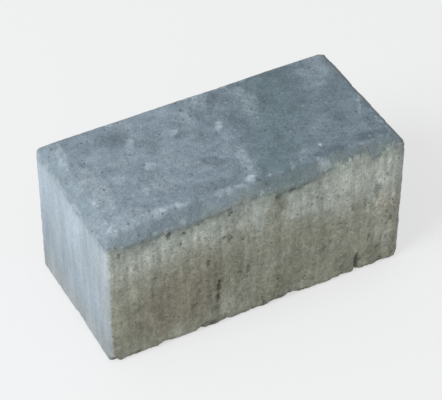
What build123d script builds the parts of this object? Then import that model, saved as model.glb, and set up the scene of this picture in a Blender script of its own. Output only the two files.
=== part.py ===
from build123d import *
import os

# Rectangular concrete paving stone, pressed in one piece. The mould's frame gives the four upright
# walls. The stamp that closes the mould from above gives the tread face and the bevel around it.
# Demoulding and handling round every edge a little.
# Millimetres, +Z up, length along X. The origin is the middle of the bed face, which lies on the ground.

# The stone's plan and thickness
stone_length = 200.0
stone_width = 100.0
stone_height = 100.0

# The bevel that the stamp presses round the tread face: in from the walls, and down them
bevel_reach = 7.0
bevel_drop = 7.0

# How far the edges are rounded: corners and bevel above, and the cut edge round the bed face
upper_edge_radius = 3.5
bed_edge_radius = 1.5

with BuildPart() as paving_stone:
    # The block, standing on its bed face
    with BuildSketch(Plane.XY):
        Rectangle(stone_length, stone_width)
    extrude(amount=stone_height)

    # The bevel round the tread face
    tread_face = faces().sort_by(Axis.Z)[-1]
    chamfer(tread_face.edges(), length=bevel_reach, length2=bevel_drop, reference=tread_face)

    # Upright corners, mitres and both lines of the bevel are rounded together
    bed_face = faces().sort_by(Axis.Z)[0]
    upper_edges = edges() - bed_face.edges()
    fillet(upper_edges, radius=upper_edge_radius)

    # The bed face has its own, smaller rounding
    bed_face = faces().sort_by(Axis.Z)[0]
    fillet(bed_face.edges(), radius=bed_edge_radius)

paving_stone.part.label = "paving_stone"

os.makedirs("parts", exist_ok=True)
export_step(paving_stone.part, "parts/paving_stone.step")
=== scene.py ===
"""The looks of a pressed concrete paving stone: its worn surface, its two mixes, and a plain studio."""

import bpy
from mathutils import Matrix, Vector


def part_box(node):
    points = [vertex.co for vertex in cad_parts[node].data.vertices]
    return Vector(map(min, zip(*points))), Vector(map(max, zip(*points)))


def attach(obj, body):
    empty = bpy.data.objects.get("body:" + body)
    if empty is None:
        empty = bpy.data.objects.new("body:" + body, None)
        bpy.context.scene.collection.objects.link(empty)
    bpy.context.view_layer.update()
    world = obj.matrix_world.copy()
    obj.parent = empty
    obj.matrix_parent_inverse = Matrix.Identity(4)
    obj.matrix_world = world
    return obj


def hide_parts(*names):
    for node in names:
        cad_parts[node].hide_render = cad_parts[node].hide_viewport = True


bl_info = {
    "name": "Concrete Paving Stone",
    "version": (1, 0, 0),
    "blender": (4, 5, 0),
    "location": "3D Viewport > Sidebar > Paving Stone",
    "description": "Models the surface and the concrete of a pressed paving stone round its fixed frame",
    "category": "Object",
}

import math
import random

import bmesh
import bpy
import numpy as np
from mathutils import Vector, noise

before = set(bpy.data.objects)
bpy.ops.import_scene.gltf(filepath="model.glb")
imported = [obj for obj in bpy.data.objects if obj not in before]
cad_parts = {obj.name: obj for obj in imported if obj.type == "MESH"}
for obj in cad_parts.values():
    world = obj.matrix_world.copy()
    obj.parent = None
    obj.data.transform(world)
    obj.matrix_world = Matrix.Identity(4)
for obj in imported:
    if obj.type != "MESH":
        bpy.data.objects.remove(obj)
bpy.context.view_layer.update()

STONE_NODE = "paving_stone"
MILLIMETRE = 0.001

# What the mesh tells the material, one value a point
MIX_HEIGHT = "mix_height"
# Painted shade: how dark the shade down in voids, pits, joints, chips and the open seam is, and the shadow
# along the foot
HOLLOW_SHADE = "hollow_shade"
# Pale worn edges, partly a painted highlight along the bevel lines
ARRIS = "arris"
END_WALL = "end_wall"
LIME = "lime"
DAMP_AND_SHADE = "damp_and_shade"
PALE = "pale"
BUFF = "buff"
EARTH = "earth"
OLIVE = "olive"
MINGLED = "mingled"
TINTS = (LIME, DAMP_AND_SHADE, PALE, BUFF, EARTH, OLIVE, MINGLED)

# Every point is worn inward along its line to a core, which lies this far inside the faces
CORE_REACH = 12 * MILLIMETRE

# How chips look, by the edge they are on: size and depth against a plain chip, darkness of the painted shade
# in it, paleness of the rim (worn, and a painted highlight)
BED_EDGE_CHIP = (1.0, 1.2, 0.50, 0.0)
BEVEL_FOOT_CHIP = (1.0, 1.0, 0.10, 0.6)
TREAD_LINE_CHIP = (1.0, 1.0, 0.00, 0.6)
CORNER_CHIP = (0.6, 1.0, 0.15, 0.6)

# The floor: half its width, between which distances it turns plain white, and how white it looks at both
FLOOR_REACH = 6.0
FLOOR_FADE = (0.35, 2.5)
FLOOR_WHITENESS = (0.58, 1.0)

# In the lists below, places along the length and back from the front edge are shares of the length and the
# width. Heights above the bed face, depths and sizes are in metres.

# Where the face mix ends on the front wall: place along the length, depth below the tread face
FRONT_SEAM = (
    (0.00, 0.0065), (0.08, 0.0100), (0.19, 0.0112), (0.30, 0.0106), (0.38, 0.0098), (0.44, 0.0068),
    (0.50, 0.0076), (0.57, 0.0106), (0.65, 0.0110), (0.72, 0.0066), (0.79, 0.0048), (0.86, 0.0046),
    (0.89, 0.0082), (0.92, 0.0074), (0.95, 0.0052), (1.00, 0.0064),
)

# Single hollows in the front wall: place along the length, height, half width, half height, depth, darkness
# of the painted shade in it
FRONT_MARKS = (
    (0.364, 0.0320, 0.0017, 0.0060, 0.0018, 0.9),
    (0.360, 0.0225, 0.0015, 0.0050, 0.0014, 0.8),
    (0.845, 0.0060, 0.0018, 0.0110, 0.0026, 0.8),
    (0.560, 0.0866, 0.0026, 0.0019, 0.0013, 0.55),
    (0.606, 0.0886, 0.0026, 0.0015, 0.0012, 0.5),
    (0.400, 0.0872, 0.0018, 0.0036, 0.0012, 0.8),
    (0.200, 0.0870, 0.0017, 0.0034, 0.0012, 0.6),
    (0.248, 0.0845, 0.0016, 0.0018, 0.0010, 0.5),
    (0.040, 0.0850, 0.0019, 0.0027, 0.0009, 0.5),
    (0.465, 0.0370, 0.0018, 0.0040, 0.0008, 0.4),
    (0.380, 0.0700, 0.0034, 0.0012, 0.0008, 0.4),
    (0.885, 0.0270, 0.0010, 0.0050, 0.0008, 0.5),
    (0.005, 0.0010, 0.0050, 0.0036, 0.0022, 0.7),
    (0.620, 0.0000, 0.0050, 0.0026, 0.0013, 0.7),
    (0.300, 0.0000, 0.0040, 0.0024, 0.0010, 0.7),
)

# Tints of the front wall: tint, place along the length, height, half width, half height, strength. Damp only
# darkens the colour that is there. The three marks a few millimetres above the bed face are painted shadow
# under the rounded bed edge.
FRONT_TINTS = (
    (EARTH, 0.24, 0.034, 0.038, 0.031, 1.0),
    (EARTH, 0.16, 0.020, 0.022, 0.018, 0.9),
    (EARTH, 0.33, 0.048, 0.014, 0.018, 0.8),
    (BUFF, 0.93, 0.050, 0.013, 0.014, 0.9),
    (BUFF, 0.94, 0.030, 0.010, 0.012, 0.6),
    (OLIVE, 0.05, 0.026, 0.016, 0.022, 1.0),
    (OLIVE, 0.12, 0.030, 0.010, 0.020, 0.7),
    (OLIVE, 0.40, 0.040, 0.015, 0.020, 0.9),
    (OLIVE, 0.56, 0.076, 0.012, 0.014, 0.6),
    (OLIVE, 0.60, 0.017, 0.036, 0.016, 0.4),
    (OLIVE, 0.66, 0.050, 0.026, 0.019, 0.8),
    (PALE, 0.05, 0.068, 0.010, 0.013, 0.5),
    (PALE, 0.11, 0.073, 0.013, 0.014, 0.8),
    (PALE, 0.27, 0.076, 0.014, 0.013, 0.9),
    (PALE, 0.45, 0.078, 0.011, 0.012, 0.6),
    (PALE, 0.65, 0.074, 0.018, 0.011, 0.6),
    (PALE, 0.80, 0.078, 0.036, 0.025, 0.9),
    (PALE, 0.95, 0.070, 0.010, 0.022, 0.7),
    (PALE, 0.95, 0.021, 0.004, 0.015, 0.7),
    (PALE, 0.91, 0.024, 0.003, 0.010, 0.6),
    (LIME, 0.71, 0.095, 0.008, 0.004, 1.0),
    (DAMP_AND_SHADE, 0.56, 0.0866, 0.0048, 0.0036, 0.8),
    (DAMP_AND_SHADE, 0.606, 0.0886, 0.0044, 0.0022, 0.7),
    (DAMP_AND_SHADE, 0.89, 0.094, 0.007, 0.005, 0.6),
    (DAMP_AND_SHADE, 0.655, 0.0915, 0.008, 0.004, 0.3),
    (DAMP_AND_SHADE, 0.905, 0.065, 0.005, 0.005, 0.9),
    (DAMP_AND_SHADE, 0.66, 0.053, 0.005, 0.004, 0.4),
    (DAMP_AND_SHADE, 0.00, 0.008, 0.014, 0.024, 0.5),
    (DAMP_AND_SHADE, 0.00, 0.0925, 0.0040, 0.0012, 0.9),
    (DAMP_AND_SHADE, 0.35, 0.012, 0.004, 0.009, 0.8),
    (DAMP_AND_SHADE, 0.55, 0.082, 0.010, 0.008, 0.4),
    # Painted shadow along the foot, under the rounded bed edge
    (DAMP_AND_SHADE, 0.37, 0.003, 0.016, 0.005, 0.7),
    (DAMP_AND_SHADE, 0.17, 0.002, 0.010, 0.004, 0.7),
    (DAMP_AND_SHADE, 0.57, 0.003, 0.010, 0.004, 0.6),
)

# Marks on the tread face, pale with lime or dark with damp: tint, place along the length, place back from
# the front edge, half length, half width, turn from the length in degrees, strength
TREAD_MARKS = (
    (LIME, 0.047, 0.80, 0.0160, 0.0034, 79, 0.6),
    (LIME, 0.052, 0.52, 0.0036, 0.0030, 0, 0.8),
    (LIME, 0.048, 0.32, 0.0042, 0.0030, 90, 1.0),
    (LIME, 0.045, 0.08, 0.0060, 0.0044, 60, 0.8),
    (LIME, 0.050, 0.30, 0.0240, 0.0050, 84, 0.2),
    (LIME, 0.072, 0.40, 0.0300, 0.0085, 88, 0.4),
    (LIME, 0.095, 0.11, 0.0200, 0.0090, 0, 0.3),
    (LIME, 0.255, 0.30, 0.0120, 0.0090, 60, 0.3),
    (LIME, 0.650, 0.70, 0.0140, 0.0070, 60, 0.3),
    (LIME, 0.250, 0.71, 0.0060, 0.0032, 65, 0.4),
    (LIME, 0.385, 0.68, 0.0040, 0.0034, 0, 0.6),
    (LIME, 0.520, 0.61, 0.0060, 0.0030, 60, 0.7),
    (LIME, 0.255, 0.47, 0.0050, 0.0038, 60, 0.6),
    (LIME, 0.260, 0.37, 0.0036, 0.0026, 0, 0.4),
    (LIME, 0.200, 0.28, 0.0050, 0.0015, 60, 0.5),
    (LIME, 0.150, 0.45, 0.0060, 0.0050, 60, 0.3),
    (LIME, 0.515, 0.90, 0.0120, 0.0028, 61, 0.55),
    (LIME, 0.650, 0.83, 0.0060, 0.0040, 60, 0.35),
    (LIME, 0.515, 0.25, 0.0180, 0.0044, 80, 0.45),
    (LIME, 0.490, 0.10, 0.0046, 0.0034, 30, 1.0),
    (LIME, 0.452, 0.07, 0.0065, 0.0015, -27, 0.7),
    (LIME, 0.200, 0.10, 0.0065, 0.0026, -5, 0.75),
    (LIME, 0.250, 0.09, 0.0070, 0.0024, -10, 0.85),
    (LIME, 0.745, 0.17, 0.0019, 0.0017, 0, 1.0),
    (LIME, 0.690, 0.16, 0.0060, 0.0030, 0, 0.35),
    (LIME, 0.963, 0.21, 0.0050, 0.0028, 80, 0.6),
    (LIME, 0.945, 0.39, 0.0140, 0.0013, 61, 0.5),
    (DAMP_AND_SHADE, 0.500, 0.03, 0.1200, 0.0050, 0, 0.35),
    (DAMP_AND_SHADE, 0.390, 0.63, 0.0017, 0.0015, 0, 0.8),
    (DAMP_AND_SHADE, 0.570, 0.63, 0.0052, 0.0034, 60, 0.6),
    (DAMP_AND_SHADE, 0.550, 0.82, 0.0150, 0.0040, 61, 0.55),
    (DAMP_AND_SHADE, 0.370, 0.14, 0.0200, 0.0080, 0, 0.5),
    (DAMP_AND_SHADE, 0.410, 0.40, 0.0180, 0.0120, 30, 0.25),
    (DAMP_AND_SHADE, 0.760, 0.09, 0.0130, 0.0070, 0, 0.55),
    (DAMP_AND_SHADE, 0.235, 0.80, 0.0150, 0.0080, 65, 0.6),
    (DAMP_AND_SHADE, 0.430, 0.34, 0.0120, 0.0050, -35, 0.75),
    (DAMP_AND_SHADE, 0.370, 0.55, 0.0180, 0.0100, 60, 0.3),
    (DAMP_AND_SHADE, 0.165, 0.16, 0.0120, 0.0050, 10, 0.4),
    (DAMP_AND_SHADE, 0.860, 0.34, 0.0070, 0.0044, 60, 0.45),
    (DAMP_AND_SHADE, 0.900, 0.11, 0.0160, 0.0050, -6, 0.55),
)


class StoneForm(bpy.types.PropertyGroup):
    """Shape of the pressed block, before any wear."""

    bevel_width: bpy.props.FloatProperty(
        name="Bevel width", description="How far the bevel runs in over the tread face and down the walls",
        default=0.007, min=0.001, max=0.02, unit="LENGTH", precision=4)
    upper_edge_radius: bpy.props.FloatProperty(
        name="Upper edge radius", description="Rounding of the corners and of both lines of the bevel",
        default=0.0035, min=0.0005, max=0.01, unit="LENGTH", precision=4)
    bed_edge_radius: bpy.props.FloatProperty(
        name="Bed edge radius", description="Rounding of the edge round the bed face",
        default=0.0015, min=0.0005, max=0.01, unit="LENGTH", precision=4)
    mesh_spacing: bpy.props.FloatProperty(
        name="Mesh spacing", description="Size of the mesh's faces",
        default=0.00107, min=0.0005, max=0.01, unit="LENGTH", precision=5)


class StoneWear(bpy.types.PropertyGroup):
    """Relief of the surface. Every depth goes inward from the pressed shape."""

    seed: bpy.props.IntProperty(
        name="Seed", description="Start of the random draws", default=7, min=0)
    skin_depth: bpy.props.FloatProperty(
        name="Skin depth", description="Slow unevenness of every face",
        default=0.0004, min=0.0, max=0.002, unit="LENGTH", precision=5)
    sand_depth: bpy.props.FloatProperty(
        name="Sand depth", description="Relief of the coarser sand in the face mix",
        default=0.00024, min=0.0, max=0.002, unit="LENGTH", precision=5)
    grain_size: bpy.props.FloatProperty(
        name="Grain size", description="How wide the packed grains of the base concrete are",
        default=0.0042, min=0.001, max=0.02, unit="LENGTH", precision=4)
    grain_depth: bpy.props.FloatProperty(
        name="Grain depth", description="Relief of the packed grains where the base concrete is open",
        default=0.0007, min=0.0, max=0.002, unit="LENGTH", precision=5)
    drag_depth: bpy.props.FloatProperty(
        name="Drag depth", description="Depth of the upright drag marks that the mould leaves on the walls",
        default=0.0006, min=0.0, max=0.003, unit="LENGTH", precision=5)
    arris_depth: bpy.props.FloatProperty(
        name="Arris wear", description="How far the lines of the bevel and the corners are rubbed away",
        default=0.0006, min=0.0, max=0.003, unit="LENGTH", precision=5)
    pit_depth: bpy.props.FloatProperty(
        name="Pit depth", description="Depth of the small pits, which the bump shows",
        default=0.0007, min=0.0, max=0.003, unit="LENGTH", precision=5)
    seam_depth: bpy.props.FloatProperty(
        name="Seam depth", description="Depth of the open texture where the two mixes meet",
        default=0.0007, min=0.0, max=0.003, unit="LENGTH", precision=5)
    bed_edge_loss: bpy.props.FloatProperty(
        name="Bed edge loss", description="How far the edge round the bed face has crumbled",
        default=0.0007, min=0.0, max=0.01, unit="LENGTH", precision=4)
    pore_count: bpy.props.IntProperty(
        name="Pores", description="Number of small pores in the tread face", default=70, min=0)
    void_count: bpy.props.IntProperty(
        name="Voids", description="Number of tries at a void in the walls", default=330, min=0)
    chip_count: bpy.props.IntProperty(
        name="Chips", description="Number of chips along the edges", default=130, min=0)


class FaceMix(bpy.types.PropertyGroup):
    """The dense blue-grey mix that forms the tread face."""

    pale: bpy.props.FloatVectorProperty(
        name="Pale", description="Colour of the paler patches", subtype="COLOR", size=3,
        default=(0.255, 0.315, 0.368), min=0.0, max=1.0)
    slate: bpy.props.FloatVectorProperty(
        name="Slate", description="Colour of the deeper patches", subtype="COLOR", size=3,
        default=(0.178, 0.230, 0.268), min=0.0, max=1.0)
    teal: bpy.props.FloatVectorProperty(
        name="Teal", description="Colour of the darkest, greener patches", subtype="COLOR", size=3,
        default=(0.135, 0.190, 0.208), min=0.0, max=1.0)
    bloom: bpy.props.FloatVectorProperty(
        name="Bloom", description="Colour of the thin lime bloom and rubbed edges", subtype="COLOR", size=3,
        default=(0.49, 0.56, 0.61), min=0.0, max=1.0)
    # Painted shade down in the small pores
    pore_shade: bpy.props.FloatVectorProperty(
        name="Pore", description="Colour down in the small pores", subtype="COLOR", size=3,
        default=(0.07, 0.09, 0.10), min=0.0, max=1.0)
    seam_depth: bpy.props.FloatProperty(
        name="Seam depth", description="Mean depth of the mix's lower limit below the tread face",
        default=0.0085, min=0.0, max=0.03, unit="LENGTH", precision=4)
    seam_waviness: bpy.props.FloatProperty(
        name="Seam waviness", description="How far that limit wanders up and down on the walls",
        default=0.0022, min=0.0, max=0.01, unit="LENGTH", precision=4)


class BaseConcrete(bpy.types.PropertyGroup):
    """The beige-grey base concrete of the walls and the bed face."""

    band: bpy.props.FloatVectorProperty(
        name="Band", description="Colour of the pale band below the face mix", subtype="COLOR", size=3,
        default=(0.438, 0.472, 0.425), min=0.0, max=1.0)
    body: bpy.props.FloatVectorProperty(
        name="Body", description="Colour halfway down the long walls", subtype="COLOR", size=3,
        default=(0.352, 0.358, 0.294), min=0.0, max=1.0)
    buff: bpy.props.FloatVectorProperty(
        name="Buff", description="Colour of the warm, paler patches of the walls", subtype="COLOR", size=3,
        default=(0.440, 0.425, 0.362), min=0.0, max=1.0)
    earth: bpy.props.FloatVectorProperty(
        name="Earth", description="Colour of the brown patches low on the walls", subtype="COLOR", size=3,
        default=(0.268, 0.246, 0.190), min=0.0, max=1.0)
    olive: bpy.props.FloatVectorProperty(
        name="Olive", description="Colour of the greener patches low on the walls", subtype="COLOR", size=3,
        default=(0.274, 0.282, 0.211), min=0.0, max=1.0)
    mixing: bpy.props.FloatVectorProperty(
        name="Mixing", description="Colour where the face mix has run into the base", subtype="COLOR", size=3,
        default=(0.238, 0.280, 0.256), min=0.0, max=1.0)
    # Painted shade down in voids, pits and open texture
    hollow_shade: bpy.props.FloatVectorProperty(
        name="Hollow", description="Colour down in voids and open texture", subtype="COLOR", size=3,
        default=(0.085, 0.100, 0.085), min=0.0, max=1.0)
    lime: bpy.props.FloatVectorProperty(
        name="Lime", description="Colour of pale brushed places and rubbed corners", subtype="COLOR", size=3,
        default=(0.56, 0.59, 0.53), min=0.0, max=1.0)
    grain: bpy.props.FloatVectorProperty(
        name="Grain", description="Colour of the palest sand grains", subtype="COLOR", size=3,
        default=(0.56, 0.56, 0.50), min=0.0, max=1.0)
    # Painted light: the ends' smooth skin is painted paler and cooler than the walls, for the light from the
    # left on them
    lit_end_skin: bpy.props.FloatVectorProperty(
        name="End skin", description="Colour of the smooth skin on the short ends", subtype="COLOR", size=3,
        default=(0.380, 0.448, 0.514), min=0.0, max=1.0)
    end_foot: bpy.props.FloatVectorProperty(
        name="End foot", description="Colour of that skin's foot and front corner", subtype="COLOR", size=3,
        default=(0.415, 0.430, 0.425), min=0.0, max=1.0)


class Studio(bpy.types.PropertyGroup):
    """Camera and light."""

    azimuth: bpy.props.FloatProperty(
        name="Azimuth", description="Turn of the camera round the stone, from straight in front",
        default=math.radians(-28), subtype="ANGLE")
    elevation: bpy.props.FloatProperty(
        name="Elevation", description="Height of the camera above the horizon",
        default=math.radians(42), subtype="ANGLE")
    distance: bpy.props.FloatProperty(
        name="Distance", description="From the camera to the middle of the stone",
        default=1.2, min=0.5, unit="LENGTH")
    lens: bpy.props.FloatProperty(
        name="Lens", description="Focal length in millimetres", default=160.0, min=20.0)
    key_power: bpy.props.FloatProperty(
        name="Key light", description="Power of the large soft light on the left, in watts",
        default=30.0, min=0.0)
    key_colour: bpy.props.FloatVectorProperty(
        name="Key colour", description="Colour of that light", subtype="COLOR", size=3,
        default=(0.92, 0.965, 1.0), min=0.0, max=1.0)
    key_size: bpy.props.FloatProperty(
        name="Key size", description="Width of that light", default=1.3, min=0.01, unit="LENGTH")
    key_azimuth: bpy.props.FloatProperty(
        name="Key azimuth", description="Turn of that light round the stone, from straight in front",
        default=math.radians(-80), subtype="ANGLE")
    key_elevation: bpy.props.FloatProperty(
        name="Key elevation", description="Height of that light above the horizon",
        default=math.radians(40), subtype="ANGLE")
    key_distance: bpy.props.FloatProperty(
        name="Key distance", description="From that light to the middle of the stone",
        default=2.2, min=0.5, unit="LENGTH")
    sky_strength: bpy.props.FloatProperty(
        name="Sky", description="Strength of the even light from all round", default=0.55, min=0.0)


# Form


def link(name, mesh):
    """Puts a mesh into the scene under a name."""
    piece = bpy.data.objects.new(name, mesh)
    bpy.context.scene.collection.objects.link(piece)
    return piece


def pressed_block(form, low, high):
    """A cube of the mould's size, bevelled round the tread face, with its rounding marked on each edge."""
    bm = bmesh.new()
    bmesh.ops.create_cube(bm, size=1.0)
    bmesh.ops.scale(bm, vec=high - low, verts=bm.verts)
    bmesh.ops.translate(bm, vec=(low + high) / 2, verts=bm.verts)
    tread_edges = [edge for edge in bm.edges if min(vert.co.z for vert in edge.verts) > (low.z + high.z) / 2]
    bmesh.ops.bevel(
        bm, geom=tread_edges, offset=form.bevel_width, offset_type="OFFSET",
        segments=1, profile=0.5, affect="EDGES", material=-1)
    rounding = bm.edges.layers.float.new("bevel_weight_edge")
    for edge in bm.edges:
        on_bed = max(vert.co.z for vert in edge.verts) < (low.z + high.z) / 2
        radius = form.bed_edge_radius if on_bed else form.upper_edge_radius
        edge[rounding] = radius / form.upper_edge_radius * math.tan(edge.calc_face_angle() / 2)
    mesh = bpy.data.meshes.new("pressed_block")
    bm.to_mesh(mesh)
    bm.free()
    return mesh


def rounded_mesh(form, block):
    """Rounds the marked edges and divides the whole skin into even small faces."""
    piece = link("pressed_block", block)
    rounding = piece.modifiers.new("Rounding", "BEVEL")
    rounding.limit_method = "WEIGHT"
    rounding.offset_type = "OFFSET"
    rounding.width = form.upper_edge_radius
    rounding.segments = 4
    rounding.profile = 0.5
    rounding.use_clamp_overlap = False
    skin = piece.modifiers.new("Even faces", "REMESH")
    skin.mode = "VOXEL"
    skin.voxel_size = form.mesh_spacing
    skin.use_smooth_shade = True
    depsgraph = bpy.context.evaluated_depsgraph_get()
    mesh = bpy.data.meshes.new_from_object(piece.evaluated_get(depsgraph))
    bpy.data.objects.remove(piece)
    bpy.data.meshes.remove(block)
    mesh.name = "worn_stone"
    return mesh


# Relief


def read(mesh, what):
    """The places or the normals of a mesh's points, as an array with three columns."""
    values = np.empty(len(mesh.vertices) * 3)
    mesh.vertices.foreach_get(what, values)
    return values.reshape(-1, 3)


def lumps(points, across, octaves=3, shift=0.0):
    """Fractal noise from about -1 to 1 at each point, in lumps up to across wide. A shift gives others."""
    scaled = points / np.asarray(across) + shift
    return np.array([noise.fractal(point, 1.0, 2.0, octaves) for point in scaled.tolist()])


def step(values, low, high):
    """A smooth step from 0 at low to 1 at high."""
    t = np.clip((values - low) / (high - low), 0.0, 1.0)
    return t * t * (3.0 - 2.0 * t)


def packed_grains(points, across):
    """Grains packed side by side: how deep each point is in a joint, and how far its grain sinks."""
    joints = np.empty(len(points))
    sinks = np.empty(len(points))
    for i, point in enumerate((points / across).tolist()):
        distances, centres = noise.voronoi(point)
        joints[i] = distances[1] - distances[0]
        sinks[i] = noise.cell(centres[0] * 17.0)
    return 1.0 - step(joints, 0.0, 0.45), 0.5 + 0.5 * sinks


class Surface:
    """The points of the stone while they are being worn, and what the wear adds up to."""

    def __init__(self, mesh, low, high):
        """Reads the fresh shape and clears the depths."""
        self.low = np.array(low)
        self.high = np.array(high)
        self.places = read(mesh, "co")
        self.ragged = self.places + 1.0 * MILLIMETRE * self.swirl(2.4 * MILLIMETRE)
        self.drifting = self.ragged + 5.0 * MILLIMETRE * self.swirl(16.0 * MILLIMETRE)
        normals = read(mesh, "normal")
        core = np.clip(self.places, self.low + CORE_REACH, self.high - CORE_REACH)
        outward = self.places - core
        self.outward = outward / np.linalg.norm(outward, axis=1, keepdims=True)
        self.tread = step(normals[:, 2], 0.80, 0.98)
        self.wall = step(-np.abs(normals[:, 2]), -0.55, -0.15)
        self.end = step(np.abs(normals[:, 0]), 0.45, 0.8)
        self.front = step(-normals[:, 1], 0.3, 0.6) * (self.places[:, 1] < 0)
        self.edge = self.rounding(normals)
        self.depth = np.zeros(len(self.places))
        self.hollow_shade = np.zeros(len(self.places))
        self.rubbed_and_highlight = np.zeros(len(self.places))
        self.tints = {tint: np.zeros(len(self.places)) for tint in TINTS}

    def swirl(self, across):
        """A different noise along each axis, which makes outlines irregular."""
        return np.stack([lumps(self.places, across, 2, shift) for shift in (0.0, 31.0, 57.0)], axis=1)

    def rounding(self, normals):
        """1 on the rounded edges above the bed face, 0 on the flats, told by how the normals turn."""
        slope = math.sqrt(0.5)
        flats = [(1, 0, 0), (0, 1, 0), (0, 0, 1), (slope, 0, slope), (0, slope, slope)]
        turned = np.abs(normals)
        nearest = np.max([turned @ np.array(flat) for flat in flats], axis=0)
        return step(1.0 - nearest, 0.004, 0.05)

    def darken(self, amount):
        """Lays painted shade on each point, at least this dark."""
        self.hollow_shade = np.maximum(self.hollow_shade, amount)

    def dent(self, centre, radii, deepness, dark=0.0, rubbed_and_highlight=0.0):
        """Presses one irregular oval dent into the surface and paints shade into it, as dark as asked."""
        apart = (self.ragged - centre) / radii
        inside = np.maximum(0.0, 1.0 - np.einsum("ij,ij->i", apart, apart))
        self.depth += deepness * np.minimum(1.0, 1.4 * inside) ** 1.2
        spread = np.minimum(1.0, 1.6 * inside)
        self.darken(spread * dark)
        self.rubbed_and_highlight = np.maximum(self.rubbed_and_highlight, spread * rubbed_and_highlight)

    def stain(self, tint, places, centre, radii, turn, strength, crispness=1.0):
        """Spreads a soft oval patch of a tint on the points whose wandering places fall within it."""
        along = Vector((math.cos(turn), math.sin(turn), 0.0))
        across = Vector((-math.sin(turn), math.cos(turn), 0.0))
        apart = (places - centre) @ np.array((along, across, (0.0, 0.0, 1.0))).T / radii
        inside = 1.0 - np.einsum("ij,ij->i", apart, apart)
        self.tints[tint] = np.maximum(self.tints[tint], strength * step(crispness * inside, 0.0, 1.0))


def seam_depths(surface, face_mix):
    """Depth below the tread face at which the face mix ends, above or below each point.

    It wavers freely at the back, follows the drawn line in front, and runs calmer and lower on the ends.
    """
    level = surface.places * (1.0, 1.0, 0.0)
    slow = lumps(level, 0.03, 2, 3.1)
    quick = lumps(level, 0.007, 3, 8.4)
    tongues = lumps(surface.places, (0.0045, 0.0045, 0.012), 3, 17.7)
    depth = face_mix.seam_depth + face_mix.seam_waviness * (slow + 0.5 * quick)
    along = (surface.places[:, 0] - surface.low[0]) / (surface.high[0] - surface.low[0]) + 0.012 * quick
    drawn = np.interp(along, [place for place, _ in FRONT_SEAM], [deep for _, deep in FRONT_SEAM])
    drawn += face_mix.seam_waviness * (0.4 * quick + 0.7 * tongues)
    at_end = face_mix.seam_depth + 1.2 * MILLIMETRE + 0.8 * face_mix.seam_waviness * slow
    depth += (drawn - depth) * surface.front
    depth += (at_end - depth) * surface.end
    return depth


def wear_face_mix(surface, wear, mix_height):
    """Slow unevenness of the whole stone, the sand of the face mix, and its crumbly lower limit with painted
    shade in it.
    """
    places = surface.places
    surface.depth += wear.skin_depth * (0.5 + 0.5 * lumps(places, 0.035, 2, 1.7))
    surface.depth += wear.sand_depth * np.clip(0.5 + 0.7 * lumps(places, 0.0038, 3, 5.2), 0.0, 1.4)
    patches = step(lumps(places, 0.009, 3, 12.9), 0.02, 0.38)
    walls = surface.wall * (1.0 - surface.end)
    below = np.exp(-((mix_height + 0.0014) / 0.0017) ** 2) * walls
    surface.depth += wear.seam_depth * below * patches
    # Painted shade down in the open texture under the face mix
    surface.darken(0.26 * below * patches)
    reach = 0.0072 * (1.0 + 0.5 * lumps(places, 0.011, 3, 25.1))
    mingled = np.exp(-((mix_height - 0.0016) / reach) ** 2)
    off_tread = mingled * (0.6 + 0.4 * walls) * (1.0 - surface.tread)
    surface.tints[MINGLED] = off_tread * (1.0 - 0.7 * surface.end)


def wear_base(surface, wear, mix_height):
    """Packed grains where the base concrete is open, with painted shade in their joints, and upright drag
    marks from the mould.
    """
    base = step(-mix_height, -0.0004, 0.0010)
    joints, sinks = packed_grains(surface.ragged, wear.grain_size)
    patches = step(lumps(surface.places, 0.020, 3, 14.3), -0.30, 0.35)
    is_open = base * (0.25 + 0.75 * patches) * (1.0 - 0.85 * surface.end)
    surface.depth += wear.grain_depth * is_open * (0.6 * joints + 0.6 * sinks)
    # Painted shade down in the joints between the grains
    surface.darken(0.34 * is_open * joints * (0.4 + 0.6 * sinks))
    wide = lumps(surface.places, (0.0050, 0.0050, 0.045), 3, 7.7)
    narrow = lumps(surface.places, (0.0022, 0.0022, 0.022), 2, 3.3)
    scored = np.clip(0.9 * wide + 0.6 * narrow + 0.05, 0.0, 1.0)
    dragged = step(lumps(surface.places, (0.028, 0.028, 0.05), 2, 2.2), -0.35, 0.3)
    surface.depth += wear.drag_depth * surface.wall * base * dragged * scored * (1.0 - 0.7 * surface.end)


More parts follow.
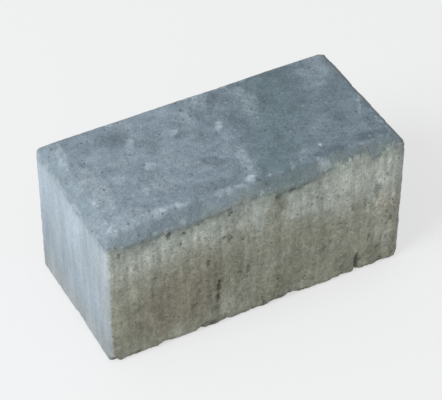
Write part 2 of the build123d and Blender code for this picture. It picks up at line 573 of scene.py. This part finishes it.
def wear_edges(surface, wear):
    """Rubs the lines of the bevel and the corners, crumbles the edge round the bed face, and paints shade
    into the crumbled edge and a shadow along the foot.
    """
    places, low, high = surface.places, surface.low, surface.high
    worn = np.clip(0.30 + 0.9 * lumps(places, 0.006, 3, 4.4), 0.0, 1.2)
    spread = step(lumps(places, 0.028, 2, 6.1), -0.35, 0.35)
    upright = step(high[2] - places[:, 2], 0.010, 0.016)
    surface.depth += wear.arris_depth * surface.edge * worn * (1.0 - 0.5 * upright)
    # Pale worn arrises: wear, made strong enough to also be a painted highlight along the bevel lines
    surface.rubbed_and_highlight = surface.edge * np.clip(worn, 0.0, 1.0) * (0.35 + 0.65 * spread)
    to_ends = np.minimum(places[:, 0] - low[0], high[0] - places[:, 0])
    to_sides = np.minimum(places[:, 1] - low[1], high[1] - places[:, 1])
    from_edge = np.hypot(np.minimum(to_ends, to_sides), places[:, 2] - low[2])
    crumbs = np.clip(0.30 + 1.0 * lumps(places, 0.0028, 3, 9.3), 0.0, 1.2)
    bites = step(lumps(places, 0.012, 3, 21.0), 0.34, 0.60)
    near = np.exp(-(from_edge / 0.0028) ** 2)
    loss = near * (crumbs + 0.35 * bites) * np.where(to_ends < to_sides, 0.15, 1.0)
    surface.depth += wear.bed_edge_loss * loss
    # Painted shade in the crumbled bed edge
    surface.darken(np.clip(0.45 * loss, 0.0, 0.6))
    # Painted shadow along the foot, under the stone's rounded bed edge
    patches = step(lumps(places, 0.009, 4, 2.7), -0.05, 0.45)
    foot = np.exp(-(from_edge / 0.0046) ** 2) * patches * surface.wall
    surface.darken(0.80 * foot * (1.0 - surface.end))


def press_pores(surface, wear, draw):
    """Small pores in the tread face, with painted shade in them."""
    low, high = surface.low, surface.high
    for _ in range(wear.pore_count):
        centre = (draw.uniform(low[0], high[0]), draw.uniform(low[1], high[1]), high[2])
        radius = (1.0 + 1.2 * draw.random() ** 3) * MILLIMETRE
        surface.dent(centre, radius, radius * draw.uniform(0.2, 0.45), dark=draw.uniform(0.1, 0.45))


def press_voids(surface, wear, draw):
    """Voids in the walls, drawn out upright and in clusters, with painted shade in them: most are low down,
    few and with paler shade in the ends.
    """
    low, high = surface.low, surface.high
    length, width, height = high - low
    for _ in range(wear.void_count):
        along = draw.uniform(0, 2 * (length + width))
        up = low[2] + height * 0.9 * draw.random() ** 1.35
        across = (1.0 + 1.3 * draw.random() ** 4) * MILLIMETRE
        tall = across * draw.uniform(1.0, 2.4)
        deepness = across * draw.uniform(0.3, 0.7)
        dark = draw.uniform(0.15, 0.60)
        kept = draw.random()
        side = 1 if along < length + width else -1
        along %= length + width
        if along < length:
            centre = (low[0] + along, side * high[1], up)
        else:
            centre = (side * high[0], low[1] + along - length, up)
            kept *= 4.0
            dark *= 0.45
        if kept < 0.55 + 0.6 * noise.noise(Vector(centre) / 0.025):
            surface.dent(centre, (across, across, tall), deepness, dark)


def edge_lines(low, high, bevel):
    """Both ends of every edge line, with the look of its chips: three lines all round, then the corners."""
    for level, inset, chip in (
            (low[2], 0.0, BED_EDGE_CHIP),
            (high[2] - bevel, 0.0, BEVEL_FOOT_CHIP),
            (high[2], bevel, TREAD_LINE_CHIP)):
        left, right = low[0] + inset, high[0] - inset
        front, back = low[1] + inset, high[1] - inset
        corners = [(left, front), (right, front), (right, back), (left, back)]
        for start, end in zip(corners, corners[1:] + corners[:1]):
            yield Vector((*start, level)), Vector((*end, level)), chip
    for x in (low[0], high[0]):
        for y in (low[1], high[1]):
            yield Vector((x, y, low[2])), Vector((x, y, high[2] - bevel)), CORNER_CHIP


def knock_chips(surface, wear, bevel, draw):
    """Chips along the edges: ones with painted shade round the bed face, pale worn ones round the tread face
    that also stand in for a highlight.
    """
    lines = list(edge_lines(surface.low, surface.high, bevel))
    lengths = [(end - start).length for start, end, _ in lines]
    for _ in range(wear.chip_count):
        start, end, (size, sinking, dark, rubbed_and_highlight) = draw.choices(lines, lengths)[0]
        centre = start.lerp(end, draw.random())
        radius = (1.5 + 2.6 * draw.random() ** 3) * MILLIMETRE * size
        stretch = draw.uniform(1.0, 2.0)
        radii = [radius * (stretch if abs(reach) > 0.01 else 1.0) for reach in end - start]
        deepness = radius * draw.uniform(0.12, 0.28) * sinking
        surface.dent(centre, radii, deepness, dark, rubbed_and_highlight)


def score_front(surface):
    """The single hollows, with painted shade in them, and the tints of the front wall."""
    low = surface.low
    length = surface.high[0] - low[0]
    for along, up, half_width, half_height, deepness, dark in FRONT_MARKS:
        centre = (low[0] + along * length, low[1], low[2] + up)
        surface.dent(centre, (half_width, 4.0 * MILLIMETRE, half_height), deepness, dark)
    for tint, along, up, half_width, half_height, strength in FRONT_TINTS:
        centre = (low[0] + along * length, low[1], low[2] + up)
        places = surface.drifting if half_width > 6.0 * MILLIMETRE else surface.ragged
        surface.stain(tint, places, centre, (half_width, 0.02, half_height), 0.0, strength)


def mark_tread(surface):
    """The lime marks and the damp marks of the tread face."""
    low = surface.low
    length, width, _ = surface.high - low
    for tint, along, back, half_length, half_width, turn, strength in TREAD_MARKS:
        centre = (low[0] + along * length, low[1] + back * width, surface.high[2])
        radii = (half_length, half_width, 0.02)
        surface.stain(tint, surface.ragged, centre, radii, math.radians(turn), strength, crispness=1.3)


def add_values(mesh, name, values):
    """Stores one value a point, for the material to read."""
    attribute = mesh.attributes.new(name, "FLOAT", "POINT")
    attribute.data.foreach_set("value", values.astype(np.float32))


def wear_stone(mesh, scene, low, high):
    """Moves every point inward by the wear at its place."""
    wear = scene.stone_wear
    surface = Surface(mesh, low, high)
    draw = random.Random(wear.seed)
    mix_height = surface.places[:, 2] - (surface.high[2] - seam_depths(surface, scene.stone_face_mix))
    wear_face_mix(surface, wear, mix_height)
    wear_base(surface, wear, mix_height)
    wear_edges(surface, wear)
    press_pores(surface, wear, draw)
    press_voids(surface, wear, draw)
    knock_chips(surface, wear, scene.stone_form.bevel_width, draw)
    score_front(surface)
    mark_tread(surface)
    moved = surface.places - surface.outward * surface.depth[:, None]
    moved = np.clip(moved, surface.low, surface.high)
    mesh.vertices.foreach_set("co", moved.ravel())
    add_values(mesh, MIX_HEIGHT, mix_height)
    add_values(mesh, HOLLOW_SHADE, np.clip(surface.hollow_shade, 0.0, 1.0))
    add_values(mesh, ARRIS, np.clip(surface.rubbed_and_highlight, 0.0, 1.0))
    add_values(mesh, END_WALL, surface.end)
    for tint in TINTS:
        add_values(mesh, tint, surface.tints[tint])
    mesh.update()


# Concrete


def add(tree, kind, inputs=None, **settings):
    """Adds a node. inputs holds, by name or number, a value or the output that feeds it."""
    node = tree.nodes.new(kind)
    for name, value in settings.items():
        setattr(node, name, value)
    for key, value in (inputs or {}).items():
        if isinstance(value, bpy.types.NodeSocket):
            tree.links.new(value, node.inputs[key])
        else:
            node.inputs[key].default_value = value
    return node


def maths(tree, operation, first, second=0.0, clamp=False):
    """One sum on two numbers."""
    inputs = {0: first, 1: second}
    return add(tree, "ShaderNodeMath", inputs, operation=operation, use_clamp=clamp).outputs[0]


def plus(tree, first, second):
    """Two numbers added up."""
    return maths(tree, "ADD", first, second)


def less(tree, first, second):
    """The first number less the second."""
    return maths(tree, "SUBTRACT", first, second)


def times(tree, first, second):
    """Two numbers multiplied."""
    return maths(tree, "MULTIPLY", first, second)


def vector_maths(tree, operation, first, second):
    """One sum on two vectors."""
    return add(tree, "ShaderNodeVectorMath", {0: first, 1: second}, operation=operation).outputs[0]


def fade(tree, value, low, high, start=0.0, end=1.0):
    """A smooth passage from start to end while value goes from low to high."""
    inputs = {"Value": value, "From Min": low, "From Max": high, "To Min": start, "To Max": end}
    return add(tree, "ShaderNodeMapRange", inputs, interpolation_type="SMOOTHSTEP").outputs["Result"]


def between(tree, mask, start, end):
    """From start where mask is 0 to end where it is 1."""
    return fade(tree, mask, 0.0, 1.0, start, end)


def as_input(colour):
    """A colour as a node takes it: an output as it is, three numbers with a fourth for opacity."""
    return colour if isinstance(colour, bpy.types.NodeSocket) else (*colour, 1.0)


def mixed(tree, factor, first, second):
    """Two colours mixed by a factor. Colours are outputs or three numbers."""
    inputs = {0: factor, 6: as_input(first), 7: as_input(second)}
    return add(tree, "ShaderNodeMix", inputs, data_type="RGBA", clamp_factor=True).outputs[2]


def laid_over(tree, colour, cover, mask, strength):
    """A colour with a second one laid over it, as far as mask times strength."""
    return mixed(tree, times(tree, mask, strength), colour, cover)


def shaded(tree, colour, amount):
    """A colour made lighter or darker by a number."""
    return add(tree, "ShaderNodeVectorMath", {0: colour, "Scale": amount}, operation="SCALE").outputs[0]


def mottled(tree, colour, clouds, dark, light, low=0.3, high=0.7):
    """A colour that is darker where clouds are at low and lighter where they are at high."""
    return shaded(tree, colour, fade(tree, clouds, low, high, dark, light))


def cloud(tree, coords, across, detail=3.0, rough=0.55, warp=0.0):
    """Cloudy noise from 0 to 1 whose lumps are about across wide."""
    inputs = {
        "Vector": coords, "Scale": 1.0 / across, "Detail": detail, "Roughness": rough, "Distortion": warp}
    return add(tree, "ShaderNodeTexNoise", inputs).outputs[0]


def swing(tree, clouds, reach):
    """Clouds from 0 to 1 turned into a distance in metres to both sides of 0."""
    return times(tree, less(tree, clouds, 0.5), reach)


def kneaded(tree, coords, across, reach):
    """Coordinates pushed about by noise, so that grains and pits get irregular outlines."""
    push = add(tree, "ShaderNodeTexNoise", {"Vector": coords, "Scale": 1.0 / across, "Detail": 2.0})
    centred = vector_maths(tree, "SUBTRACT", push.outputs["Color"], (0.5, 0.5, 0.5))
    return vector_maths(tree, "ADD", shaded(tree, centred, reach), coords)


def stretched(tree, coords, up, level=1.0):
    """Coordinates scaled upright and level, which draws a pattern out the way that is scaled less."""
    return add(tree, "ShaderNodeMapping", {"Vector": coords, "Scale": (level, level, up)}).outputs[0]


def cells(tree, coords, across, what):
    """Cells about across wide: their random Color, or the Distance from their middles."""
    return add(tree, "ShaderNodeTexVoronoi", {"Vector": coords, "Scale": 1.0 / across}).outputs[what]


def chance(tree, coords, across):
    """A random number from 0 to 1 for each small cell, as grains of sand have each its own tone."""
    return add(tree, "ShaderNodeSeparateColor", {0: cells(tree, coords, across, "Color")}).outputs[0]


def sand(tree, coords, contrast):
    """A factor round 1 that makes each grain of sand a little lighter or darker than the next."""
    fine = cloud(tree, coords, 0.0007, 2.0, 0.6)
    grains = chance(tree, coords, 0.0016)
    tone = plus(tree, times(tree, fine, 0.8), times(tree, grains, 0.2))
    return fade(tree, tone, 0.28, 0.72, 1.0 - contrast, 1.0 + contrast)


def specks(tree, coords, across, share, size):
    """Scattered small specks: a share of the cells carries one, size wide against its cell."""
    grains = add(tree, "ShaderNodeTexVoronoi", {"Vector": coords, "Scale": 1.0 / across}).outputs
    drawn = add(tree, "ShaderNodeSeparateColor", {0: grains["Color"]}).outputs
    chosen = fade(tree, drawn[0], 1.0 - share, 1.0 - share + 0.02)
    reach = times(tree, plus(tree, drawn[1], 0.35), size)
    near = maths(tree, "SUBTRACT", 1.0, maths(tree, "DIVIDE", grains["Distance"], reach), clamp=True)
    return times(tree, chosen, fade(tree, near, 0.0, 0.65))


def attribute(tree, name):
    """A value that the mesh carries."""
    return add(tree, "ShaderNodeAttribute", attribute_name=name).outputs["Fac"]


def zone(tree, value, middle, reach):
    """1 where value is at middle, fading to 0 at reach to either side."""
    away = maths(tree, "ABSOLUTE", less(tree, value, middle))
    return fade(tree, away, 0.0, reach, 1.0, 0.0)


def face_mix_colour(tree, coords, grains, pores, face_mix):
    """Blue-grey in soft patches, paler to the left, teal right of the middle, with lime marks and sand."""
    x, y, _ = add(tree, "ShaderNodeSeparateXYZ", {0: coords}).outputs
    tone = plus(tree, cloud(tree, coords, 0.045, 3.0), times(tree, x, -2.4))
    colour = mixed(tree, fade(tree, tone, 0.27, 0.72), face_mix.slate, face_mix.pale)

    # The teal zone runs across the tread face at a slant, with a wavering edge
    slanted = plus(tree, times(tree, y, -0.34), x)
    wavering = plus(tree, slanted, times(tree, cloud(tree, coords, 0.03), 0.03))
    colour = laid_over(tree, colour, face_mix.teal, zone(tree, wavering, 0.050, 0.036), 0.75)

    # Soft mottling, a thin bloom, and the single marks that the mesh carries
    colour = mottled(tree, colour, cloud(tree, coords, 0.011, 4.0, 0.6), 0.88, 1.13)
    bloom = fade(tree, cloud(tree, coords, 0.024, 5.0, 0.65, 0.6), 0.53, 0.74, 0.0, 0.34)
    colour = mixed(tree, bloom, colour, face_mix.bloom)
    broken = fade(tree, cloud(tree, coords, 0.0030, 3.0, 0.6), 0.34, 0.58, 0.30, 0.95)
    colour = laid_over(tree, colour, face_mix.bloom, attribute(tree, LIME), broken)
    colour = shaded(tree, colour, between(tree, attribute(tree, DAMP_AND_SHADE), 1.0, 0.62))

    # Sand, pale specks and painted shade in the pores
    colour = shaded(tree, colour, sand(tree, coords, 0.20))
    colour = laid_over(tree, colour, face_mix.bloom, specks(tree, grains, 0.0036, 0.16, 0.30), 0.32)
    return laid_over(tree, colour, face_mix.pore_shade, pores, 0.60)


def wall_colour(tree, coords, grains, pits, below, base, low):
    """Beige-grey: pale under the face mix, brown or olive low down, with upright streaks and grains."""
    x, y, _ = add(tree, "ShaderNodeSeparateXYZ", {0: coords}).outputs

    # The pale band under the face mix fades out downwards, lower on the right, with a wandering limit
    wander = swing(tree, cloud(tree, stretched(tree, coords, 0.12), 0.009, 3.0, 0.6), 0.048)
    rise = fade(tree, x, -0.03, 0.07, 0.0, -0.017)
    down = plus(tree, plus(tree, below, wander), rise)
    colour = mixed(tree, fade(tree, down, 0.002, 0.032), base.band, base.body)

    # Greener and brown patches low down, browner on the walls behind the front one, then the single patches
    lower = fade(tree, down, 0.015, 0.060)
    olive = fade(tree, cloud(tree, stretched(tree, coords, 1.0, 1.3), 0.037, 3.0), 0.40, 0.62, 0.0, 0.55)
    colour = laid_over(tree, colour, base.olive, lower, olive)
    brown = times(tree, fade(tree, cloud(tree, coords, 0.050, 2.0), 0.40, 0.60), lower)
    behind_front = fade(tree, y, low.y + 0.001, low.y + 0.010)
    colour = laid_over(tree, colour, base.earth, brown, between(tree, behind_front, 0.25, 0.8))
    for tint, cover, strength in (
            (OLIVE, base.olive, 0.85),
            (EARTH, base.earth, 0.90),
            (BUFF, base.buff, 0.90)):
        colour = laid_over(tree, colour, cover, attribute(tree, tint), strength)

    # Pale places brushed with lime, then wide and narrow upright streaks and blotches
    brushed = fade(tree, cloud(tree, stretched(tree, coords, 0.14), 0.0042, 3.0, 0.6), 0.36, 0.60, 0.2, 1.0)
    colour = laid_over(tree, colour, base.lime, attribute(tree, PALE), brushed)
    wide = cloud(tree, stretched(tree, coords, 0.10), 0.0065, 2.0, 0.5)
    narrow = cloud(tree, stretched(tree, coords, 0.14), 0.0026, 3.0, 0.6)
    blotches = cloud(tree, coords, 0.006, 4.0, 0.65)
    colour = mottled(tree, colour, wide, 0.87, 1.14, 0.32, 0.68)
    colour = mottled(tree, colour, narrow, 0.91, 1.09)
    colour = mottled(tree, colour, blotches, 0.90, 1.11)

    # Small stones, each with its own tone, then sand, pale grains and painted shade in the pits
    stones = specks(tree, grains, 0.0052, 0.70, 0.42)
    own_tone = fade(tree, chance(tree, grains, 0.0052), 0.3, 1.0, 0.80, 1.22)
    colour = mixed(tree, stones, colour, shaded(tree, colour, own_tone))
    colour = shaded(tree, colour, sand(tree, coords, 0.22))
    colour = laid_over(tree, colour, base.grain, specks(tree, grains, 0.0034, 0.24, 0.32), 0.40)
    return laid_over(tree, colour, base.hollow_shade, pits, 0.60)


def lit_end_colour(tree, coords, below, base, low):
    """The ends' skin, painted pale and cool as if lit from the left: darker and warmer to the foot, paler by
    the front corner, with smears.
    """
    _, y, z = add(tree, "ShaderNodeSeparateXYZ", {0: coords}).outputs
    downward = fade(tree, below, 0.002, 0.060, 1.06, 0.94)
    by_corner = fade(tree, y, low.y + 0.002, low.y + 0.030, 1.05, 1.0)
    warm_foot = fade(tree, z, low.z + 0.034, low.z, 0.0, 0.7)
    warm_corner = fade(tree, y, low.y + 0.020, low.y + 0.004, 0.0, 0.5)
    skin = mixed(tree, maths(tree, "MAXIMUM", warm_foot, warm_corner), base.lit_end_skin, base.end_foot)
    skin = shaded(tree, skin, times(tree, downward, by_corner))
    smears = cloud(tree, stretched(tree, coords, 0.30), 0.018, 4.0, 0.6)
    skin = mottled(tree, skin, smears, 0.86, 1.14)
    streaks = cloud(tree, stretched(tree, coords, 0.12), 0.0045, 3.0, 0.6)
    skin = mottled(tree, skin, streaks, 0.93, 1.07)
    return shaded(tree, skin, sand(tree, coords, 0.11))


def seam_mask(tree, coords, height, end):
    """1 in the face mix and 0 in the base, ragged and grainy, with a softer passage on the ends."""
    crumbs = swing(tree, cloud(tree, coords, 0.0042, 5.0, 0.68), 0.0120)
    smears = swing(tree, cloud(tree, stretched(tree, coords, 0.25), 0.0024, 3.0, 0.6), 0.0070)
    edge = plus(tree, plus(tree, height, crumbs), smears)
    softness = plus(tree, 0.0017, times(tree, end, 0.0020))
    return fade(tree, maths(tree, "DIVIDE", edge, softness), -1.0, 1.0)


def seam_tint(tree, coords):
    """How far the two mixes have run into each other, in patches to both sides of the seam."""
    spotted = fade(tree, cloud(tree, coords, 0.0050, 4.0, 0.6), 0.34, 0.58, 0.40, 1.0)
    where = fade(tree, cloud(tree, coords, 0.022, 2.0), 0.38, 0.56, 0.60, 1.0)
    return times(tree, times(tree, spotted, where), attribute(tree, MINGLED))


def shade_in_hollows(tree, coords):
    """How dark the painted shade down in the hollows is, with a crisp and slightly ragged rim."""
    ragged = fade(tree, cloud(tree, coords, 0.0017, 4.0, 0.65), 0.32, 0.68, 0.35, 1.65)
    return fade(tree, times(tree, attribute(tree, HOLLOW_SHADE), ragged), 0.08, 0.75)


def concrete_bump(tree, coords, grains, dips, is_face, end):
    """The fine relief, a height in metres: sand all over, coarser grains on open walls, less on the ends."""
    fine = times(tree, cloud(tree, coords, 0.0009, 3.0, 0.6), 0.00034)
    packed = times(tree, cells(tree, coords, 0.0012, "Distance"), -0.00026)
    coarse = times(tree, cloud(tree, grains, 0.0032, 4.0, 0.7), 0.00110)
    coarse = times(tree, coarse, less(tree, 1.0, is_face))
    rough = plus(tree, plus(tree, fine, packed), coarse)
    calm = less(tree, 1.0, times(tree, end, 0.55))
    height = less(tree, times(tree, rough, calm), dips)
    return add(tree, "ShaderNodeBump", {"Height": height, "Strength": 1.0, "Distance": 1.0}).outputs[0]


def concrete(scene, low):
    """The stone's one material: face mix over base concrete, with painted shade in its hollows, pale worn
    edges that are partly a painted highlight, and a fine bump.
    """
    material = bpy.data.materials.new("pressed_concrete")
    material.use_nodes = True
    tree = material.node_tree
    shader = tree.nodes["Principled BSDF"]
    base = scene.stone_base
    face_mix = scene.stone_face_mix
    coords = add(tree, "ShaderNodeTexCoord").outputs["Object"]
    grains = kneaded(tree, coords, 0.0022, 0.0012)
    eaten = kneaded(tree, coords, 0.0016, 0.0020)
    height = attribute(tree, MIX_HEIGHT)
    below = times(tree, height, -1.0)
    end = attribute(tree, END_WALL)
    is_face = seam_mask(tree, coords, height, end)
    on_wall = times(tree, less(tree, 1.0, is_face), between(tree, end, 1.0, 0.15))
    clusters = fade(tree, cloud(tree, coords, 0.016, 2.0), 0.42, 0.58)
    pits = times(tree, specks(tree, eaten, 0.0036, 0.45, 0.32), times(tree, clusters, on_wall))
    pores = times(tree, specks(tree, grains, 0.0030, 0.16, 0.28), is_face)

    # The two mixes, run into each other along the seam
    wall = wall_colour(tree, coords, grains, pits, below, base, low)
    # The ends take their colour with painted light: pale and cool, as if lit from the left
    wall = laid_over(tree, wall, lit_end_colour(tree, coords, below, base, low), end, 0.88)
    # Damp darkens the walls; the marks along the foot are painted shadow
    wall = shaded(tree, wall, between(tree, attribute(tree, DAMP_AND_SHADE), 1.0, 0.60))
    colour = mixed(tree, is_face, wall, face_mix_colour(tree, coords, grains, pores, face_mix))
    colour = mixed(tree, seam_tint(tree, coords), colour, base.mixing)

    # Rubbed edges are pale, from wear and as a painted highlight along the bevel lines; hollows get painted
    # shade
    patchy = fade(tree, cloud(tree, coords, 0.0045, 4.0, 0.65), 0.36, 0.60, 0.0, 0.80)
    rubbed_and_highlight = times(tree, attribute(tree, ARRIS), patchy)
    colour = laid_over(tree, colour, face_mix.bloom, rubbed_and_highlight, is_face)
    colour = laid_over(tree, colour, base.lime, rubbed_and_highlight, between(tree, is_face, 0.5, 0.0))
    # Painted shade down in the hollows, and the painted shadow along the foot
    hollow_shade = shade_in_hollows(tree, coords)
    colour = laid_over(tree, colour, base.hollow_shade, hollow_shade, 0.34)
    colour = shaded(tree, colour, between(tree, hollow_shade, 1.0, 0.62))
    tree.links.new(colour, shader.inputs["Base Color"])

    # Bump and roughness
    dips = times(tree, plus(tree, pits, times(tree, pores, 0.6)), scene.stone_wear.pit_depth)
    tree.links.new(concrete_bump(tree, coords, grains, dips, is_face, end), shader.inputs["Normal"])
    fine = cloud(tree, coords, 0.0009, 3.0, 0.6)
    tree.links.new(fade(tree, fine, 0.3, 0.7, 0.82, 0.96), shader.inputs["Roughness"])
    shader.inputs["Specular IOR Level"].default_value = 0.35
    return material


class STONE_OT_make_stone(bpy.types.Operator):
    """Press the stone, wear its surface and give it its concrete"""

    bl_idname = "stone.make_stone"
    bl_label = "Make the paving stone"

    def execute(self, context):
        """Builds the one piece and lets it stand for the frame's stone."""
        scene = context.scene
        low, high = (Vector(corner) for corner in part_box(STONE_NODE))
        mesh = rounded_mesh(scene.stone_form, pressed_block(scene.stone_form, low, high))
        wear_stone(mesh, scene, low, high)
        mesh.materials.clear()
        mesh.materials.append(concrete(scene, low))
        stone = link("worn_paving_stone", mesh)
        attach(stone, "root")
        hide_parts(STONE_NODE)
        return {"FINISHED"}


# Studio


def seen_directly(tree):
    """1 for what the camera sees, straight, mirrored or refracted, and 0 for light on the stone."""
    rays = add(tree, "ShaderNodeLightPath").outputs
    mirrored = maths(tree, "MAXIMUM", rays["Is Glossy Ray"], rays["Is Transmission Ray"])
    return maths(tree, "MAXIMUM", rays["Is Camera Ray"], mirrored)


def floor_material():
    """Pale paint that looks nearly white, plain white far out, and still takes the stone's shadow."""
    material = bpy.data.materials.new("pale_floor")
    material.use_nodes = True
    tree = material.node_tree
    tree.nodes.clear()
    paint = add(tree, "ShaderNodeBsdfDiffuse", {"Color": (0.8, 0.8, 0.8, 1.0)}).outputs[0]
    glow = add(tree, "ShaderNodeEmission", {"Color": (1.0, 1.0, 1.0, 1.0), "Strength": 1.0}).outputs[0]
    place = add(tree, "ShaderNodeTexCoord").outputs["Object"]
    far_out = add(tree, "ShaderNodeVectorMath", {0: place}, operation="LENGTH").outputs["Value"]
    whiteness = fade(tree, far_out, *FLOOR_FADE, *FLOOR_WHITENESS)
    whiter = times(tree, seen_directly(tree), whiteness)
    both = add(tree, "ShaderNodeMixShader", {0: whiter, 1: paint, 2: glow}).outputs[0]
    add(tree, "ShaderNodeOutputMaterial", {"Surface": both})
    return material


def direction(azimuth, elevation):
    """Unit vector from the stone towards something at this turn and height."""
    level = math.cos(elevation)
    return Vector((math.sin(azimuth) * level, -math.cos(azimuth) * level, math.sin(elevation)))


def aim(thing, back, target, distance):
    """Puts a camera or a light back along a direction and turns it to its target."""
    thing.location = target + back * distance
    thing.rotation_mode = "QUATERNION"
    thing.rotation_quaternion = (-back).to_track_quat("-Z", "Y")
    bpy.context.scene.collection.objects.link(thing)


class STONE_OT_make_studio(bpy.types.Operator):
    """Lay the floor, hang the light and set the camera"""

    bl_idname = "stone.make_studio"
    bl_label = "Make the studio"

    def execute(self, context):
        """Makes everything round the stone that isn't the stone."""
        scene = context.scene
        studio = scene.stone_studio
        low, high = (Vector(corner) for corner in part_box(STONE_NODE))
        middle = (low + high) / 2

        bm = bmesh.new()
        bmesh.ops.create_grid(bm, x_segments=1, y_segments=1, size=FLOOR_REACH)
        floor_mesh = bpy.data.meshes.new("floor")
        bm.to_mesh(floor_mesh)
        bm.free()
        floor_mesh.materials.append(floor_material())
        floor = link("floor", floor_mesh)

        lamp = bpy.data.lights.new("key_light", "AREA")
        lamp.shape = "DISK"
        lamp.size = studio.key_size
        lamp.energy = studio.key_power
        lamp.color = studio.key_colour
        key_light = bpy.data.objects.new("key_light", lamp)
        aim(key_light, direction(studio.key_azimuth, studio.key_elevation), middle, studio.key_distance)

        world = bpy.data.worlds.new("even_sky")
        world.use_nodes = True
        tree = world.node_tree
        white = (1.0, 1.0, 1.0, 1.0)
        sky = tree.nodes["Background"]
        sky.inputs["Color"].default_value = white
        sky.inputs["Strength"].default_value = studio.sky_strength
        backdrop = add(tree, "ShaderNodeBackground", {"Color": white, "Strength": 1.0})
        both = {0: seen_directly(tree), 1: sky.outputs[0], 2: backdrop.outputs[0]}
        seen = add(tree, "ShaderNodeMixShader", both)
        tree.links.new(seen.outputs[0], tree.nodes["World Output"].inputs["Surface"])
        scene.world = world

        camera = bpy.data.cameras.new("camera")
        camera.lens = studio.lens
        camera.sensor_width = 36.0
        camera.clip_start = 0.05
        seen_from = bpy.data.objects.new("camera", camera)
        aim(seen_from, direction(studio.azimuth, studio.elevation), middle, studio.distance)
        scene.camera = seen_from
        scene.view_settings.view_transform = "Standard"
        return {"FINISHED"}


class STONE_PT_panel(bpy.types.Panel):
    """The stone's sizes, wear and colours, with the buttons that make it"""

    bl_idname = "STONE_PT_panel"
    bl_label = "Paving Stone"
    bl_space_type = "VIEW_3D"
    bl_region_type = "UI"
    bl_category = "Paving Stone"

    def draw(self, context):
        """Lists every setting under its group."""
        for group in SETTINGS:
            box = self.layout.box()
            box.label(text=group)
            for name in SETTINGS[group].__annotations__:
                box.prop(getattr(context.scene, group), name)
        self.layout.operator(STONE_OT_make_stone.bl_idname)
        self.layout.operator(STONE_OT_make_studio.bl_idname)


SETTINGS = {
    "stone_form": StoneForm,
    "stone_wear": StoneWear,
    "stone_face_mix": FaceMix,
    "stone_base": BaseConcrete,
    "stone_studio": Studio,
}
CLASSES = (*SETTINGS.values(), STONE_OT_make_stone, STONE_OT_make_studio, STONE_PT_panel)


def register():
    """Makes the classes known and gives the scene its settings."""
    for cls in CLASSES:
        bpy.utils.register_class(cls)
    for name, group in SETTINGS.items():
        setattr(bpy.types.Scene, name, bpy.props.PointerProperty(type=group))


def unregister():
    """Takes the settings and classes away again."""
    for name in SETTINGS:
        delattr(bpy.types.Scene, name)
    for cls in reversed(CLASSES):
        bpy.utils.unregister_class(cls)


def main():
    """Makes the stone and its studio."""
    register()
    bpy.ops.stone.make_stone()
    bpy.ops.stone.make_studio()


if __name__ == "__main__":
    main()
